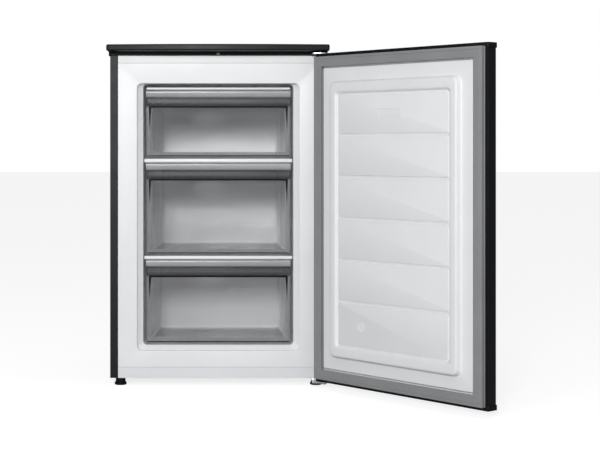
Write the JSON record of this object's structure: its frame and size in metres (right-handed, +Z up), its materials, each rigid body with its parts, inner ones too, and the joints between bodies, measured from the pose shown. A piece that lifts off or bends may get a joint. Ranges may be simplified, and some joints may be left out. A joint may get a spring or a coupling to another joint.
{
  "type": "under-counter upright freezer",
  "caption": "Under-counter upright freezer, shown open: side-hung door on hinge pins, clear pull-out drawers, white lining, black cabinet and overhanging worktop.",
  "frame": {"origin": "on the floor, under the middle of the box round the freezer as it stands with its door open", "axes": "+Z up; +X to the right and +Y to the back, seen from in front; the cabinet and the drawers face -Y"},
  "size_m": [0.8942, 0.9633, 0.85],
  "materials": {
    "worktop": "fine-grained charcoal laminate with a soft sheen",
    "black_paint": "satin black coated steel",
    "black_plastic": "moulded black plastic, matt",
    "white_coating": "white coated steel, satin",
    "white_plastic": "vacuum-formed white plastic, soft gloss",
    "foam": null,
    "galvanised": "zinc-coated sheet",
    "bright_steel": "bright zinc-plated steel",
    "gasket_rubber": "grey soft vinyl seal",
    "dark_rubber": "black rubber",
    "smoke_clear": "clear plastic with a grey smoke tint",
    "copper": "drawn copper tube",
    "grey_plastic": "moulded grey plastic"
  },
  "bodies": {
    "cabinet": {"worktop": "worktop", "left_side_panel": "black_paint", "right_side_panel": "black_paint", "compressor_plate": "black_paint", "compressor_shell": "black_paint", "condenser": "black_paint", "worktop_frame": "black_plastic", "rear_left_foot": "black_plastic", "rear_right_foot": "black_plastic", "relay_cover": "black_plastic", "control_box": "black_plastic", "top_front_rail": "white_coating", "bottom_front_rail": "white_coating", "top_evaporator_coil": "white_coating", "middle_evaporator_coil": "white_coating", "low_evaporator_coil": "white_coating", "inner_liner": "white_plastic", "top_shelf_trim": "white_plastic", "middle_shelf_trim": "white_plastic", "low_shelf_trim": "white_plastic", "cabinet_foam": "foam", "bay_panel": "galvanised", "back_panel": "galvanised", "bottom_panel": "galvanised", "compressor_tray": "galvanised", "top_hinge_bracket": "bright_steel", "top_hinge_pin": "bright_steel", "bottom_hinge_bracket": "bright_steel", "bottom_hinge_pin": "bright_steel", "bottom_hinge_screw_1": "bright_steel", "bottom_hinge_screw_2": "bright_steel", "compressor_grommet_1": "dark_rubber", "compressor_grommet_2": "dark_rubber", "compressor_grommet_3": "dark_rubber", "compressor_grommet_4": "dark_rubber", "mains_inlet_bush": "dark_rubber", "discharge_pipe": "copper", "suction_pipe": "copper", "filter_drier": "copper", "frame_plug": "grey_plastic"},
    "door": {"door_skin": "black_paint", "door_top_cap": "black_plastic", "door_bottom_cap": "black_plastic", "door_foam": "foam", "door_liner": "white_plastic", "door_gasket": "gasket_rubber", "top_door_bush": "white_plastic", "bottom_door_bush": "white_plastic", "door_stop_plate": "bright_steel", "stop_plate_screw_1": "black_paint", "stop_plate_screw_2": "black_paint"},
    "top_drawer": {"top_drawer_tub": "smoke_clear", "top_drawer_front": "smoke_clear"},
    "middle_drawer": {"middle_drawer_tub": "smoke_clear", "middle_drawer_front": "smoke_clear"},
    "bottom_drawer": {"bottom_drawer_tub": "smoke_clear", "bottom_drawer_front": "smoke_clear"},
    "front_left_foot": {"front_left_foot": "black_plastic"},
    "front_right_foot": {"front_right_foot": "black_plastic"},
    "thermostat_knob": {"thermostat_knob": "grey_plastic"}
  },
  "joints": [
    {"name": "door_hinge", "type": "hinge", "parent": "cabinet", "child": "door", "pos_m": [0.09163, -0.05967, 0.4224], "axis": [0, 0, 1], "range_deg": [-130.5, 5]},
    {"name": "top_drawer_slide", "type": "slide", "parent": "cabinet", "child": "top_drawer", "axis": [0, -1, 0], "range_m": [0, 0.3]},
    {"name": "middle_drawer_slide", "type": "slide", "parent": "cabinet", "child": "middle_drawer", "axis": [0, -1, 0], "range_m": [0, 0.3]},
    {"name": "bottom_drawer_slide", "type": "slide", "parent": "cabinet", "child": "bottom_drawer", "axis": [0, -1, 0], "range_m": [0, 0.22]},
    {"name": "front_left_foot_screw", "type": "slide", "parent": "cabinet", "child": "front_left_foot", "axis": [0, 0, -1], "range_m": [0, 0.01]},
    {"name": "front_right_foot_screw", "type": "slide", "parent": "cabinet", "child": "front_right_foot", "axis": [0, 0, -1], "range_m": [0, 0.01]},
    {"name": "thermostat_knob_turn", "type": "hinge", "parent": "cabinet", "child": "thermostat_knob", "pos_m": [0.00673, 0.45533, 0.2322], "axis": [0, 1, 0], "range_deg": [0, 270]}
  ]
}
